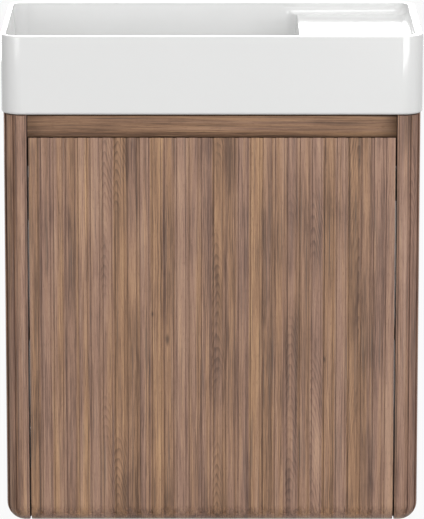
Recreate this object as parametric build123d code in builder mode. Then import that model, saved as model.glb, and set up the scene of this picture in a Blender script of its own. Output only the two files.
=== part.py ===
from build123d import *
import math
import os

# Wall-hung cloakroom vanity: a ceramic hand basin on a fluted walnut cabinet with one inset door.
# Millimetres. +Z is up, the front faces -Y and the wall is the plane y = 0.
# The origin is the centre of the four wall plate screw holes, on the wall.

# Basin
basin_width = 450.0
basin_depth = 235.0
basin_height = 85.0
basin_corner_radius = 22.0
basin_foot_radius = 3.0
rim_radius = 1.2
rim_width = 5.0
rim_width_deck_end = 8.0
rim_band = 3.0
basin_floor = 10.0
inner_corner_radius = 15.0
bowl_draft = 4.0
bowl_floor_radius = 12.0
deck_width = 122.0
deck_drop = 12.0
deck_tail = 30.0
deck_floor_radius = 8.0
underside_wall = 9.0
underside_seat = 3.0
underside_draft = 2.0
underside_corner_radius = 10.0
underside_roof_radius = 5.0

# Cabinet
cabinet_height = 450.0
cabinet_inset = 2.0
cabinet_edge_radius = 20.0
shadow_gap = 1.0
seal_width = 10.0
seal_inset = 8.0
seal_front_inset = 2.0
seal_rear_inset = 4.0
seal_corner_radius = 14.0
post_thickness = 25.0
board = 18.0
rail_height = 60.0
rear_clear = 16.0
stretcher_depth = 62.0

# Flutes, measured along the surface round the corners
flute_pitch = 13.2
flute_width = 4.0
flute_depth = 1.6
flute_end_angle = 31.0
flute_wall_margin = 12.0
flute_overcut = 3.0

# Door
door_thickness = 22.0
door_drop = 24.0
door_gap = 2.0
door_back_gap = 7.0
door_corner_relief = 10.0
grip_land = 1.0
grip_bevel_height = 13.0

# Pivot hinges, set into the back of the door near its left edge
hinge_from_edge = 19.5
hinge_from_front = 7.5
hinge_from_end = 75.0
pin_radius = 2.0
pin_clearance = 0.05
press_clearance = 0.02
arm_height = 8.0
arm_width = 7.0
arm_eye_radius = 3.8
arm_lean = 12.0
arm_stand_off = 12.0
arm_foot_length = 34.0
arm_foot_height = 44.0
arm_foot_thickness = 3.0
arm_foot_radius = 5.0
arm_screw_inset = 8.0
hinge_clear = 0.4
hinge_cheek = 2.5
hinge_side_gap = 0.5
housing_wall = 1.4
housing_flange = 1.6
housing_flange_width = 15.0
housing_flange_height = 42.0
housing_corner_radius = 3.0
housing_screw_inset = 7.0
pin_chamfer = 0.4

# Small fixings
screw_radius = 1.7
screw_head_radius = 3.4
screw_head_depth = 1.5
screw_length = 13.0
screw_clearance = 0.05
head_clearance = 0.4

# Magnetic catch and bumpers
catch_width = 14.0
catch_length = 34.0
catch_height = 30.0
catch_below_rail = 22.0
catch_rear_radius = 6.0
catch_edge_radius = 2.0
catch_screw_front = 14.0
catch_screw_rear = 6.0
catch_screw_ledge = 5.0
magnet_height = 14.0
magnet_depth = 8.0
magnet_cheek = 3.0
catch_gap = 0.4
strike_thickness = 1.6
strike_width = 12.0
strike_height = 22.0
strike_edge_inset = 1.0
strike_corner_radius = 2.0
bumper_radius = 4.0
bumper_gap = 0.3
bumper_inset = 20.0
bumper_hinge_inset = 60.0
bumper_overlap = 10.0
bumper_edge_radius = 0.8

# Shelf
shelf_height = 195.0
shelf_thickness = 16.0
shelf_front_gap = 8.0
shelf_rear_gap = 60.0
shelf_side_gap = 0.5
shelf_edge_radius = 1.0
shelf_pin_radius = 2.5
shelf_pin_seat = 10.0
shelf_pin_reach = 8.0
shelf_pin_inset = 30.0

# Knock-down fittings
cam_radius = 7.5
cam_depth = 12.5
cam_from_end = 24.0
cam_recess_span = 8.0
cam_recess_width = 1.6
cam_recess_depth = 2.5
cam_bolt_radius = 3.0
cam_bolt_seat = 11.0
cam_bolt_short = 1.0
dowel_radius = 4.0
dowel_length = 30.0
dowel_chamfer = 1.0
dowel_clearance = 0.05
panel_bolt_front = 19.0
panel_bolt_rear = 34.0
panel_dowel_spacing = 35.0
rail_bolt_drop = 22.0
rail_dowel_spacing = 24.0
stretcher_dowel_spacing = 21.0
rear_rail_height = 60.0
rear_rail_bolt_rise = 40.0
rear_rail_dowel_rise = 16.0

# Hangers and wall plates
hanger_drop = 74.0
wall_screw_rise = 36.0
wall_screw_hole_radius = 3.25
wall_plate_width = 36.0
wall_plate_thickness = 3.0
wall_plate_foot = 12.0
wall_plate_corner_radius = 4.0
wall_plate_side_gap = 2.0
lip_gap = 4.0
lip_height = 14.0
joggle_height = 4.0
hook_thickness = 3.0
hook_bar_height = 7.0
hook_drop = 10.0
hook_clear = 0.3
hook_below_rail = 1.5
hook_setback = 8.0
hanger_width = 18.0
hanger_depth = 48.0
hanger_foot = 6.0
hanger_wall_gap = 2.0
hanger_edge_radius = 3.0
hanger_screw_front = 12.0
hanger_screw_back = 10.0
hanger_screw_rise = 9.0
hanger_screw_ledge = 4.0
adjuster_radius = 4.0
adjuster_seat = 6.0
adjuster_proud = 1.5
adjuster_rise = 22.0
adjuster_spacing = 12.0
adjuster_recess_span = 6.0
adjuster_recess_width = 1.2
adjuster_recess_depth = 1.2

# Waste
waste_hole_clearance = 1.55
flange_cover = 9.0
flange_thickness = 2.0
flange_edge_radius = 0.8
seal_thickness = 1.5
seal_edge_inset = 1.0
seal_bore_clearance = 0.1
tail_radius = 20.95
tail_wall = 2.5
tail_length = 65.0
thread_length = 40.0
thread_relief = 3.0
thread_relief_depth = 0.8
nut_wall = 8.05
nut_height = 8.0
cone_seal_height = 3.0
cone_seal_inset = 2.0
cartridge_height = 24.0
cartridge_drop = 2.0
cartridge_clear = 0.05
cartridge_guide_radius = 9.0
cartridge_ring_height = 8.0
cartridge_ring_wall = 2.0
cartridge_spoke_width = 2.4
plug_inset = 0.5
plug_height = 5.0
plug_edge_radius = 2.5
plug_rest_gap = 7.0
plug_stem_radius = 5.0
plug_stem_stop = 8.0

# How far a cutter runs past the face that it cuts
over = 1.0

# Levels and faces that follow from the sizes above
cabinet_top = hanger_drop
cabinet_bottom = cabinet_top - cabinet_height
basin_bottom = cabinet_top + shadow_gap
basin_top = basin_bottom + basin_height
cabinet_width = basin_width - 2 * cabinet_inset
cabinet_depth = basin_depth - cabinet_inset
half_width = cabinet_width / 2
front = -cabinet_depth
inner_x = half_width - post_thickness
door_half = inner_x - door_gap
door_back = front + door_thickness
frame_front = door_back + door_back_gap
grip_bevel_depth = door_thickness - grip_land
arm_reach = door_thickness - hinge_from_front + arm_stand_off
waste_hole_radius = tail_radius + waste_hole_clearance
flange_radius = waste_hole_radius + flange_cover
plug_radius = flange_radius - plug_inset
nut_radius = tail_radius + nut_wall
corner_x = half_width - cabinet_edge_radius
corner_y = front + cabinet_edge_radius
corner_z = cabinet_bottom + cabinet_edge_radius
floor_top = cabinet_bottom + board

os.makedirs("parts", exist_ok=True)


def save(builder, label):
    """Name a finished piece and write it to its own file."""
    builder.part.label = label
    export_step(builder.part, "parts/" + label + ".step")


def block(low, high, mode=Mode.ADD):
    """A box between two opposite corners, given in either order along each axis."""
    size = [abs(b - a) for a, b in zip(low, high)]
    middle = [(a + b) / 2 for a, b in zip(low, high)]
    with Locations(tuple(middle)):
        Box(*size, mode=mode)


on_end = (Align.CENTER, Align.CENTER, Align.MIN)


def rod(start, direction, radius, length, mode=Mode.ADD):
    """A round bar or bore from a point along an axis."""
    with Locations(Plane(origin=start, z_dir=direction)):
        Cylinder(radius, length, align=on_end, mode=mode)


# The cabinet's outer form, cut up below into the side panels and the door
with BuildPart() as envelope:
    block((-half_width, front, cabinet_bottom), (half_width, 0, cabinet_top))
    front_uprights = envelope.edges().filter_by(Axis.Z).group_by(Axis.Y)[0]
    foot_edges = envelope.edges().group_by(Axis.Z)[0].sort_by(Axis.Y)[:-1]
    fillet(front_uprights + foot_edges, cabinet_edge_radius)

# One flute as a cutter: straight down the face, then round the bottom edge to a square end.
# It is drawn about the centre line of the rounding, so that a turn about Z takes it round a corner.
with BuildPart() as flute:
    cut_radius = cabinet_edge_radius - flute_depth
    proud_radius = cabinet_edge_radius + flute_overcut
    end = math.radians(flute_end_angle)
    top_z = cabinet_top + over
    inner_end = (-cut_radius * math.cos(end), corner_z - cut_radius * math.sin(end))
    outer_end = (-proud_radius * math.cos(end), corner_z - proud_radius * math.sin(end))
    with BuildSketch(Plane.YZ):
        with BuildLine():
            Line((-cut_radius, top_z), (-cut_radius, corner_z))
            CenterArc((0, corner_z), cut_radius, 180, flute_end_angle)
            Polyline(inner_end, outer_end, (-proud_radius, corner_z), (-proud_radius, top_z),
                     (-cut_radius, top_z))
        make_face()
    extrude(amount=flute_width / 2, both=True)

# Where the flutes stand along the outline, from the middle of the front to the wall
quarter = cabinet_edge_radius * math.pi / 2
outline_length = corner_x + quarter + abs(corner_y) - flute_wall_margin
flute_count = int(outline_length / flute_pitch)


def flute_location(index):
    """The place and turn of one flute, counted from the middle, negative to the left."""
    run = abs(index) * flute_pitch
    side = -1 if index < 0 else 1
    if run <= corner_x:
        return Location((side * run, corner_y, 0))
    if run <= corner_x + quarter:
        turn = math.degrees((run - corner_x) / cabinet_edge_radius)
        return Location((side * corner_x, corner_y, 0), (0, 0, side * turn))
    along = corner_y + run - corner_x - quarter
    return Location((side * corner_x, along, 0), (0, 0, side * 90))


last_door_flute = int((door_half - flute_width / 2) / flute_pitch)
first_post_flute = last_door_flute + 1

# Joints between boards: where each cam bolt runs along X, and the way out of its cam disc's bore
panel_z = cabinet_bottom + board / 2
front_bolt_y = frame_front + panel_bolt_front
rear_bolt_y = -rear_clear - panel_bolt_rear
rail_y = frame_front + board / 2
rail_z = cabinet_top - rail_bolt_drop
stretcher_y = -rear_clear - stretcher_depth / 2
stretcher_z = cabinet_top - board / 2
rear_rail_y = -rear_clear - board / 2
bolt_runs = {
    "bottom_panel": [(front_bolt_y, panel_z, (0, 0, -1)), (rear_bolt_y, panel_z, (0, 0, -1))],
    "finger_pull_rail": [(rail_y, rail_z, (0, -1, 0))],
    "rear_top_rail": [(stretcher_y, stretcher_z, (0, 0, 1))],
    "rear_bottom_rail": [(rear_rail_y, floor_top + rear_rail_bolt_rise, (0, 1, 0))],
}
dowel_runs = {
    "bottom_panel": [
        (front_bolt_y + panel_dowel_spacing, panel_z),
        (rear_bolt_y - panel_dowel_spacing, panel_z),
    ],
    "finger_pull_rail": [(rail_y, rail_z - rail_dowel_spacing)],
    "rear_top_rail": [
        (stretcher_y - stretcher_dowel_spacing, stretcher_z),
        (stretcher_y + stretcher_dowel_spacing, stretcher_z),
    ],
    "rear_bottom_rail": [(rear_rail_y, floor_top + rear_rail_dowel_rise)],
}


def cam_centre(side, run):
    """The middle of a cam disc's mouth face, on the face that it is bored from."""
    y, z, inward = run
    half_board = board / 2
    return (
        side * (inner_x - cam_from_end),
        y - inward[1] * half_board,
        z - inward[2] * half_board,
    )


def bore_board_ends(name):
    """Cam, bolt and dowel bores at both ends of a board."""
    for side in (-1, 1):
        for run in bolt_runs[name]:
            rod(cam_centre(side, run), run[2], cam_radius, cam_depth, Mode.SUBTRACT)
            rod((side * inner_x, run[0], run[1]), (-side, 0, 0), cam_bolt_radius + screw_clearance,
                cam_from_end, Mode.SUBTRACT)
        for y, z in dowel_runs[name]:
            rod((side * inner_x, y, z), (-side, 0, 0), dowel_radius + dowel_clearance,
                dowel_length / 2, Mode.SUBTRACT)


def bore_side_panel(side):
    """Bolt, dowel and shelf pin bores in the inner face of a side panel."""
    for runs in bolt_runs.values():
        for y, z, inward in runs:
            rod((side * inner_x, y, z), (side, 0, 0), cam_bolt_radius + screw_clearance,
                cam_bolt_seat, Mode.SUBTRACT)
    for runs in dowel_runs.values():
        for y, z in runs:
            rod((side * inner_x, y, z), (side, 0, 0), dowel_radius + dowel_clearance,
                dowel_length / 2, Mode.SUBTRACT)
    for y in shelf_pin_rows:
        rod((side * inner_x, y, shelf_pin_z), (side, 0, 0), shelf_pin_radius + screw_clearance,
            shelf_pin_seat, Mode.SUBTRACT)


# Shelf and the pins under it
shelf_bottom = cabinet_bottom + shelf_height
shelf_front = frame_front + shelf_front_gap
shelf_rear = -shelf_rear_gap
shelf_pin_z = shelf_bottom - shelf_pin_radius
shelf_pin_rows = (shelf_front + shelf_pin_inset, shelf_rear - shelf_pin_inset)

with BuildPart() as shelf:
    shelf_half = inner_x - shelf_side_gap
    block((-shelf_half, shelf_front, shelf_bottom), (shelf_half, shelf_rear, shelf_bottom + shelf_thickness))
    fillet(shelf.edges().filter_by(Axis.X), shelf_edge_radius)
save(shelf, "shelf")

with BuildPart() as shelf_pins:
    for side in (-1, 1):
        for y in shelf_pin_rows:
            rod((side * (inner_x + shelf_pin_seat), y, shelf_pin_z), (-side, 0, 0), shelf_pin_radius,
                shelf_pin_seat + shelf_pin_reach)
save(shelf_pins, "shelf_pins")

# Pivot hinge places
hinge_x = -door_half + hinge_from_edge
hinge_y = front + hinge_from_front
door_top = cabinet_top - door_drop
hinge_levels = {
    "upper": door_top - hinge_from_end,
    "lower": cabinet_bottom + hinge_from_end,
}
cheek_half = arm_height / 2 + hinge_side_gap + hinge_cheek
slot_half = arm_height / 2 + hinge_side_gap
lean = math.radians(arm_lean)
neck_end = (hinge_x + arm_reach * math.tan(lean), hinge_y + arm_reach)
slot_front = hinge_y - arm_eye_radius - hinge_clear
slot_right = hinge_x + (door_back - hinge_y) * math.tan(lean) + arm_width / 2 + 2 * hinge_clear
housing_right = slot_right + housing_wall
foot_front = neck_end[1] - arm_width / 2
foot_rows = (foot_front + arm_screw_inset, foot_front + arm_foot_length - arm_screw_inset)
foot_screw_rise = arm_foot_height / 2 - arm_screw_inset
flange_left = housing_right - housing_wall
flange_right = flange_left + housing_flange_width
flange_screw_x = (housing_right + flange_right) / 2
flange_screw_rise = housing_flange_height / 2 - housing_screw_inset


def countersunk_screw(head, direction):
    """A small screw with a countersunk head, from the middle of its head into the board."""
    with Locations(Plane(origin=head, z_dir=direction)):
        Cone(screw_head_radius, screw_radius, screw_head_depth, align=on_end)
        Cylinder(screw_radius, screw_length, align=on_end)


def screw_hole(head, direction):
    """The countersunk hole that such a screw goes through and into."""
    shank = screw_radius + screw_clearance
    with Locations(Plane(origin=head, z_dir=direction)):
        Cone(screw_head_radius + screw_clearance, shank, screw_head_depth, align=on_end, mode=Mode.SUBTRACT)
        Cylinder(shank, screw_length, align=on_end, mode=Mode.SUBTRACT)


def arm_screw_heads(level):
    """Heads of the screws through an arm's foot."""
    x = -inner_x + arm_foot_thickness
    return [(x, y, level + rise) for y in foot_rows for rise in (-foot_screw_rise, foot_screw_rise)]


def housing_screw_heads(level):
    """Heads of the screws through a housing's flange."""
    return [(flange_screw_x, door_back, level + rise) for rise in (-flange_screw_rise, flange_screw_rise)]


for end_name, level in hinge_levels.items():
    # The arm: an eye on the pin, a leaning neck out of the door's back, and a foot on the side panel
    with BuildPart() as hinge_arm:
        with BuildSketch(Plane.XY.offset(level - arm_height / 2)) as arm_outline:
            with Locations((hinge_x, hinge_y)):
                Circle(arm_eye_radius)
            with BuildLine() as neck_line:
                Line((hinge_x, hinge_y), neck_end)
            trace(line_width=arm_width)
            foot_x = -inner_x + arm_foot_thickness / 2
            with BuildLine() as reach_line:
                Line((foot_x, neck_end[1]), neck_end)
            trace(line_width=arm_width)
        extrude(amount=arm_height)
        block((-inner_x, foot_front, level - arm_foot_height / 2),
              (-inner_x + arm_foot_thickness, foot_front + arm_foot_length, level + arm_foot_height / 2))
        foot_corners = hinge_arm.edges().filter_by(Axis.X).group_by(Axis.X)[0]
        fillet(foot_corners, arm_foot_radius)
        rod((hinge_x, hinge_y, level - arm_height), (0, 0, 1), pin_radius + pin_clearance,
            2 * arm_height, Mode.SUBTRACT)
        for head in arm_screw_heads(level):
            screw_hole(head, (-1, 0, 0))
    save(hinge_arm, end_name + "_hinge_arm")

    with BuildPart() as hinge_arm_screws:
        for head in arm_screw_heads(level):
            countersunk_screw(head, (-1, 0, 0))
    save(hinge_arm_screws, end_name + "_hinge_arm_screws")

    # The housing: two cheeks that hold the pin, joined on the right, and a flange let into the door's back
    with BuildPart() as hinge_housing:
        block((-door_half, slot_front, level - cheek_half), (housing_right, door_back, level + cheek_half))
        swing_corner = hinge_housing.edges().filter_by(Axis.Z).group_by(Axis.Y)[-1].sort_by(Axis.X)[0]
        chamfer(swing_corner, door_corner_relief)
        block((-door_half - over, slot_front - over, level - slot_half),
              (slot_right, door_back + over, level + slot_half), Mode.SUBTRACT)
        block((flange_left, door_back - housing_flange, level - housing_flange_height / 2),
              (flange_right, door_back, level + housing_flange_height / 2))
        flange_corners = hinge_housing.edges().filter_by(Axis.Y).group_by(Axis.X)[-1]
        fillet(flange_corners, housing_corner_radius)
        rod((hinge_x, hinge_y, level - cheek_half), (0, 0, 1), pin_radius + press_clearance,
            2 * cheek_half, Mode.SUBTRACT)
        for head in housing_screw_heads(level):
            screw_hole(head, (0, -1, 0))
    save(hinge_housing, end_name + "_hinge_housing")

    with BuildPart() as hinge_housing_screws:
        for head in housing_screw_heads(level):
            countersunk_screw(head, (0, -1, 0))
    save(hinge_housing_screws, end_name + "_hinge_housing_screws")

    with BuildPart() as hinge_pin:
        rod((hinge_x, hinge_y, level - cheek_half), (0, 0, 1), pin_radius, 2 * cheek_half)
        chamfer(hinge_pin.edges().filter_by(GeomType.CIRCLE), pin_chamfer)
    save(hinge_pin, end_name + "_hinge_pin")

# Magnetic catch: a housing on the right side panel, and a strike on the door's back
catch_z = cabinet_top - rail_height - catch_below_rail
catch_front = door_back + strike_thickness + catch_gap
catch_left = inner_x - catch_width
catch_screw_y = (catch_front + catch_screw_front, catch_front + catch_length - catch_screw_rear)
magnet_low = (catch_left + magnet_cheek, catch_front, catch_z - magnet_height / 2)
magnet_high = (inner_x - magnet_cheek, catch_front + magnet_depth, catch_z + magnet_height / 2)
strike_x = door_half - strike_edge_inset - strike_width / 2


def catch_screw_heads():
    """Heads of the screws through the catch into the side panel."""
    return [(inner_x - catch_screw_ledge, y, catch_z) for y in catch_screw_y]


def strike_screw_head():
    """Head of the screw that holds the strike."""
    return (strike_x, door_back + strike_thickness, catch_z)


with BuildPart() as catch_housing:
    block((catch_left, catch_front, catch_z - catch_height / 2),
          (inner_x, catch_front + catch_length, catch_z + catch_height / 2))
    fillet(catch_housing.edges().filter_by(Axis.X).group_by(Axis.Y)[-1], catch_rear_radius)
    fillet(catch_housing.edges().filter_by(Axis.Z).group_by(Axis.X)[0], catch_edge_radius)
    block(magnet_low, magnet_high, Mode.SUBTRACT)
    for y in catch_screw_y:
        rod((catch_left, y, catch_z), (1, 0, 0), screw_head_radius + head_clearance,
            catch_width - catch_screw_ledge, Mode.SUBTRACT)
    for head in catch_screw_heads():
        screw_hole(head, (1, 0, 0))
save(catch_housing, "catch_housing")

with BuildPart() as catch_magnet:
    block(magnet_low, magnet_high)
save(catch_magnet, "catch_magnet")

with BuildPart() as catch_screws:
    for head in catch_screw_heads():
        countersunk_screw(head, (1, 0, 0))
save(catch_screws, "catch_screws")

with BuildPart() as catch_strike:
    block((strike_x - strike_width / 2, door_back, catch_z - strike_height / 2),
          (strike_x + strike_width / 2, door_back + strike_thickness, catch_z + strike_height / 2))
    fillet(catch_strike.edges().filter_by(Axis.Y), strike_corner_radius)
    screw_hole(strike_screw_head(), (0, -1, 0))
save(catch_strike, "catch_strike")

with BuildPart() as catch_strike_screw:
    countersunk_screw(strike_screw_head(), (0, -1, 0))
save(catch_strike_screw, "catch_strike_screw")

# Bumpers on the door's back, which meet the rail and the bottom panel
bumper_thickness = door_back_gap - bumper_gap
bumper_places = [
    (door_half - bumper_inset, cabinet_top - rail_height + bumper_overlap),
    (door_half - bumper_inset, panel_z),
    (-door_half + bumper_hinge_inset, panel_z),
]
with BuildPart() as door_bumpers:
    for x, z in bumper_places:
        rod((x, door_back, z), (0, 1, 0), bumper_radius, bumper_thickness)
    fillet(door_bumpers.edges().filter_by(GeomType.CIRCLE).group_by(Axis.Y)[-1], bumper_edge_radius)
save(door_bumpers, "door_bumpers")

# The door, fluted round its lower edge, with a bevel behind its top edge to grip.
# Its back corner on the hinge side is cut off, so that it clears the rail as it swings.
with BuildPart() as door:
    add(envelope.part)
    block((-door_half, front - over, cabinet_bottom - over), (door_half, door_back, door_top), Mode.INTERSECT)
    swing_corner = door.edges().filter_by(Axis.Z).group_by(Axis.Y)[-1].sort_by(Axis.X)[0]
    chamfer(swing_corner, door_corner_relief)
    grip_edge = door.edges().group_by(Axis.Z)[-1].sort_by(Axis.Y)[-1]
    chamfer(grip_edge, grip_bevel_depth, grip_bevel_height, reference=door.faces().sort_by(Axis.Z)[-1])
    for index in range(-last_door_flute, last_door_flute + 1):
        add(flute.part.moved(flute_location(index)), mode=Mode.SUBTRACT)
    for level in hinge_levels.values():
        block((-door_half - over, slot_front, level - cheek_half),
              (housing_right, door_back + over, level + cheek_half), Mode.SUBTRACT)
        block((flange_left, door_back - housing_flange, level - housing_flange_height / 2),
              (flange_right, door_back + over, level + housing_flange_height / 2), Mode.SUBTRACT)
        for head in housing_screw_heads(level):
            rod(head, (0, -1, 0), screw_radius + screw_clearance, screw_length, Mode.SUBTRACT)
    rod(strike_screw_head(), (0, -1, 0), screw_radius + screw_clearance, screw_length, Mode.SUBTRACT)
save(door, "door")

# Hangers, just inside each side panel below the rear top rail
hook_level = cabinet_top - board - hook_below_rail - hook_bar_height
lip_top = hook_level
lip_bottom = lip_top - lip_height
joggle_bottom = lip_bottom - joggle_height
lip_back = -wall_plate_thickness - lip_gap
lip_front = lip_back - wall_plate_thickness
hanger_back = -rear_clear - hanger_wall_gap
hanger_front = hanger_back - hanger_depth
hook_front = hanger_front + hook_setback
wall_plate_x = inner_x - wall_plate_side_gap - wall_plate_width / 2
hook_x = inner_x - hanger_width / 2
sides = ((-1, "left"), (1, "right"))
hanger_screw_rows = (hanger_front + hanger_screw_front, hanger_back - hanger_screw_back)
adjuster_levels = (hanger_foot + adjuster_rise, hanger_foot + adjuster_rise + adjuster_spacing)


def hanger_screw_heads(side):
    """Heads of the screws that hold a hanger to its side panel."""
    x = side * (inner_x - hanger_screw_ledge)
    return [(x, y, hanger_foot + hanger_screw_rise) for y in hanger_screw_rows]


for side, side_name in sides:
    with BuildPart() as wall_plate:
        with BuildSketch(Plane.YZ):
            with BuildLine():
                Polyline(
                    (0, -wall_screw_rise / 2 - wall_plate_foot),
                    (0, joggle_bottom),
                    (lip_back, lip_bottom),
                    (lip_back, lip_top),
                    (lip_front, lip_top),
                    (lip_front, lip_bottom),
                    (-wall_plate_thickness, joggle_bottom),
                    (-wall_plate_thickness, -wall_screw_rise / 2 - wall_plate_foot),
                    close=True,
                )
            make_face()
        extrude(amount=wall_plate_width / 2, both=True)
        fillet(wall_plate.edges().filter_by(Axis.Y).group_by(Axis.Z)[0], wall_plate_corner_radius)
        for rise in (-wall_screw_rise / 2, wall_screw_rise / 2):
            rod((0, -wall_plate_thickness - over, rise), (0, 1, 0), wall_screw_hole_radius,
                wall_plate_thickness + 2 * over, Mode.SUBTRACT)
    wall_plate.part.position = (side * wall_plate_x, 0, 0)
    save(wall_plate, side_name + "_wall_plate")

    # The hook: a bar out over the plate's lip, and a tongue down behind it
    with BuildPart() as hanger_hook:
        with BuildSketch(Plane.YZ):
            with BuildLine():
                Polyline(
                    (hook_front, hook_level),
                    (lip_back + hook_clear, hook_level),
                    (lip_back + hook_clear, hook_level - hook_drop),
                    (-wall_plate_thickness - hook_clear, hook_level - hook_drop),
                    (-wall_plate_thickness - hook_clear, hook_level + hook_bar_height),
                    (hook_front, hook_level + hook_bar_height),
                    close=True,
                )
            make_face()
        extrude(amount=hook_thickness / 2, both=True)
    hanger_hook.part.position = (side * hook_x, 0, 0)
    save(hanger_hook, side_name + "_hanger_hook")

    with BuildPart() as hanger_body:
        block((side * inner_x, hanger_front, hanger_foot),
              (side * (inner_x - hanger_width), hanger_back, cabinet_top - board))
        uprights = hanger_body.edges().filter_by(Axis.Z).group_by(Axis.X)
        fillet(uprights[0 if side > 0 else -1], hanger_edge_radius)
        hook_half = hook_thickness / 2 + hook_clear
        block((side * hook_x - hook_half, hook_front, hook_level),
              (side * hook_x + hook_half, hanger_back + over, hook_level + hook_bar_height + hook_clear),
              Mode.SUBTRACT)
        for head in hanger_screw_heads(side):
            rod((side * (inner_x - hanger_width), head[1], head[2]), (side, 0, 0),
                screw_head_radius + head_clearance, hanger_width - hanger_screw_ledge, Mode.SUBTRACT)
            screw_hole(head, (side, 0, 0))
        for z in adjuster_levels:
            rod((side * hook_x, hanger_front, z), (0, 1, 0), adjuster_radius + screw_clearance,
                adjuster_seat, Mode.SUBTRACT)
    save(hanger_body, side_name + "_hanger_body")

    with BuildPart() as hanger_adjusters:
        head_face = hanger_front - adjuster_proud
        for z in adjuster_levels:
            rod((side * hook_x, head_face, z), (0, 1, 0), adjuster_radius, adjuster_seat + adjuster_proud)
            with BuildSketch(Plane(origin=(side * hook_x, head_face, z), z_dir=(0, 1, 0))):
                Rectangle(adjuster_recess_span, adjuster_recess_width)
                Rectangle(adjuster_recess_width, adjuster_recess_span)
            extrude(amount=adjuster_recess_depth, mode=Mode.SUBTRACT)
    save(hanger_adjusters, side_name + "_hanger_adjusters")

    with BuildPart() as hanger_screws:
        for head in hanger_screw_heads(side):
            countersunk_screw(head, (side, 0, 0))
    save(hanger_screws, side_name + "_hanger_screws")

    # The side panel: its front edge is the post beside the door, rebated where a flute meets the gap
    with BuildPart() as side_panel:
        add(envelope.part)
        block((side * inner_x, front - over, cabinet_bottom - over),
              (side * (half_width + over), over, cabinet_top + over), Mode.INTERSECT)
        for index in range(first_post_flute, flute_count + 1):
            add(flute.part.moved(flute_location(side * index)), mode=Mode.SUBTRACT)
        bore_side_panel(side)
        for head in hanger_screw_heads(side):
            rod(head, (side, 0, 0), screw_radius + screw_clearance, screw_length, Mode.SUBTRACT)
        if side < 0:
            for level in hinge_levels.values():
                for head in arm_screw_heads(level):
                    rod(head, (side, 0, 0), screw_radius + screw_clearance, screw_length, Mode.SUBTRACT)
        else:
            for head in catch_screw_heads():
                rod(head, (side, 0, 0), screw_radius + screw_clearance, screw_length, Mode.SUBTRACT)
    save(side_panel, side_name + "_side_panel")

# Boards between the side panels
with BuildPart() as bottom_panel:
    block((-inner_x, frame_front, cabinet_bottom), (inner_x, -rear_clear, floor_top))
    bore_board_ends("bottom_panel")
save(bottom_panel, "bottom_panel")

with BuildPart() as finger_pull_rail:
    block((-inner_x, frame_front, cabinet_top - rail_height), (inner_x, frame_front + board, cabinet_top))
    bore_board_ends("finger_pull_rail")
save(finger_pull_rail, "finger_pull_rail")

with BuildPart() as rear_top_rail:
    block((-inner_x, -rear_clear - stretcher_depth, cabinet_top - board), (inner_x, -rear_clear, cabinet_top))
    bore_board_ends("rear_top_rail")
save(rear_top_rail, "rear_top_rail")

with BuildPart() as rear_bottom_rail:
    block((-inner_x, -rear_clear - board, floor_top), (inner_x, -rear_clear, floor_top + rear_rail_height))
    bore_board_ends("rear_bottom_rail")
save(rear_bottom_rail, "rear_bottom_rail")

# Cam discs, each with a bore for its bolt and a cross recess
with BuildPart() as cam_discs:
    for runs in bolt_runs.values():
        for run in runs:
            for side in (-1, 1):
                centre = cam_centre(side, run)
                rod(centre, run[2], cam_radius, cam_depth)
                rod((side * inner_x, run[0], run[1]), (-side, 0, 0), cam_bolt_radius + screw_clearance,
                    cam_from_end, Mode.SUBTRACT)
                with BuildSketch(Plane(origin=centre, z_dir=run[2])):
                    Rectangle(cam_recess_span, cam_recess_width)
                    Rectangle(cam_recess_width, cam_recess_span)
                extrude(amount=cam_recess_depth, mode=Mode.SUBTRACT)
save(cam_discs, "cam_discs")

with BuildPart() as cam_bolts:
    for runs in bolt_runs.values():
        for y, z, inward in runs:
            for side in (-1, 1):
                rod((side * (inner_x + cam_bolt_seat), y, z), (-side, 0, 0), cam_bolt_radius,
                    cam_bolt_seat + cam_from_end - cam_bolt_short)
save(cam_bolts, "cam_bolts")

with BuildPart() as dowels:
    for runs in dowel_runs.values():
        for y, z in runs:
            for side in (-1, 1):
                rod((side * (inner_x + dowel_length / 2), y, z), (-side, 0, 0), dowel_radius, dowel_length)
    chamfer(dowels.edges().filter_by(GeomType.CIRCLE), dowel_chamfer)
save(dowels, "dowels")

# The bead that beds the basin on the cabinet
bead_half = half_width - seal_inset
bead_front = frame_front + seal_front_inset
bead_rear = -rear_clear - seal_rear_inset
with BuildPart() as basin_seal:
    with BuildSketch(Plane.XY.offset(cabinet_top)):
        with Locations((0, (bead_front + bead_rear) / 2)):
            RectangleRounded(2 * bead_half, bead_rear - bead_front, seal_corner_radius)
            RectangleRounded(2 * (bead_half - seal_width), bead_rear - bead_front - 2 * seal_width,
                             seal_corner_radius - seal_width, mode=Mode.SUBTRACT)
    extrude(amount=shadow_gap)
save(basin_seal, "basin_seal")

# Basin: a bowl with a shallower tap deck at the right end, under one upright band at the rim
bowl_left = -basin_width / 2 + rim_width
deck_right = basin_width / 2 - rim_width_deck_end
deck_left = deck_right - deck_width
bowl_centre = (bowl_left + deck_left) / 2
deck_pocket_left = deck_left - deck_tail
deck_floor = basin_top - deck_drop
bowl_floor = basin_bottom + basin_floor
band_floor = basin_top - rim_band
inner_depth = basin_depth - 2 * rim_width
basin_middle = -basin_depth / 2
waste_x = bowl_centre
waste_y = basin_middle

with BuildPart() as rim_hollow:
    with BuildSketch(Plane.XY.offset(basin_top)):
        with Locations(((bowl_left + deck_right) / 2, basin_middle)):
            RectangleRounded(deck_right - bowl_left, inner_depth, inner_corner_radius)
    extrude(amount=-rim_band)

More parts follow.
